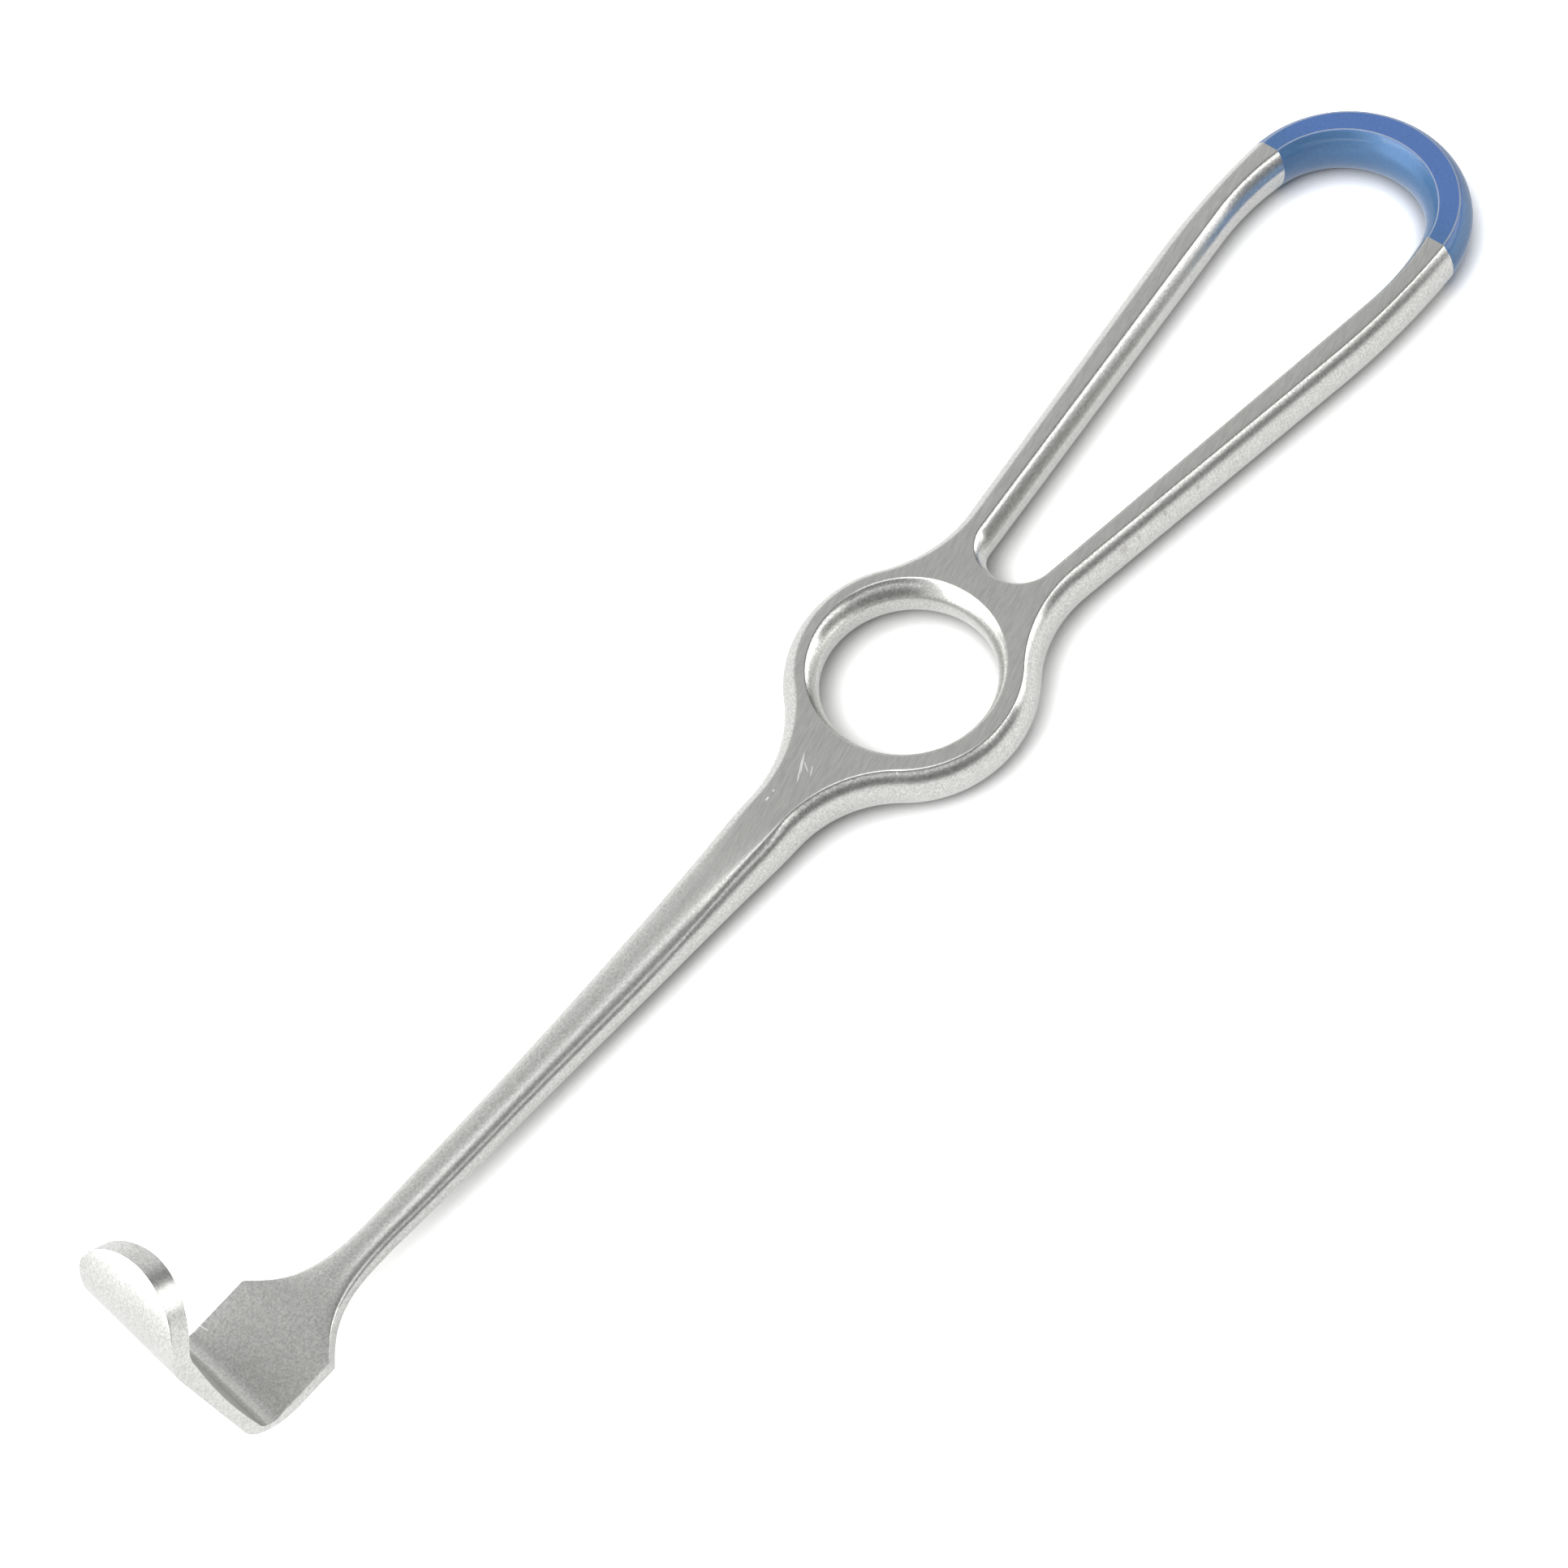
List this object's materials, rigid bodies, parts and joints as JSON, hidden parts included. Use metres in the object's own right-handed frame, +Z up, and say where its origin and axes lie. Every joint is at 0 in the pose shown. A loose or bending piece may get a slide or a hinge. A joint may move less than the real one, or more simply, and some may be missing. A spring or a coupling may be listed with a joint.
{
  "type": "handheld surgical retractor",
  "caption": "One-piece steel hand retractor: open loop handle with a finger ring, a tapering shaft and a right-angled blade with a curled rounded lip.",
  "frame": {"origin": "centre of the finger ring, in the plane of the flat underside that the handle rests on", "axes": "+X along the instrument from the blade to the closed end of the loop, +Y across, +Z up, the way the blade points"},
  "size_m": [0.2143, 0.0316, 0.0419],
  "materials": {
    "retractor_body": "satin",
    "handle_coat": "glossy"
  },
  "bodies": {
    "root": {"retractor_body": "retractor_body", "handle_coat": "handle_coat"}
  },
  "joints": []
}
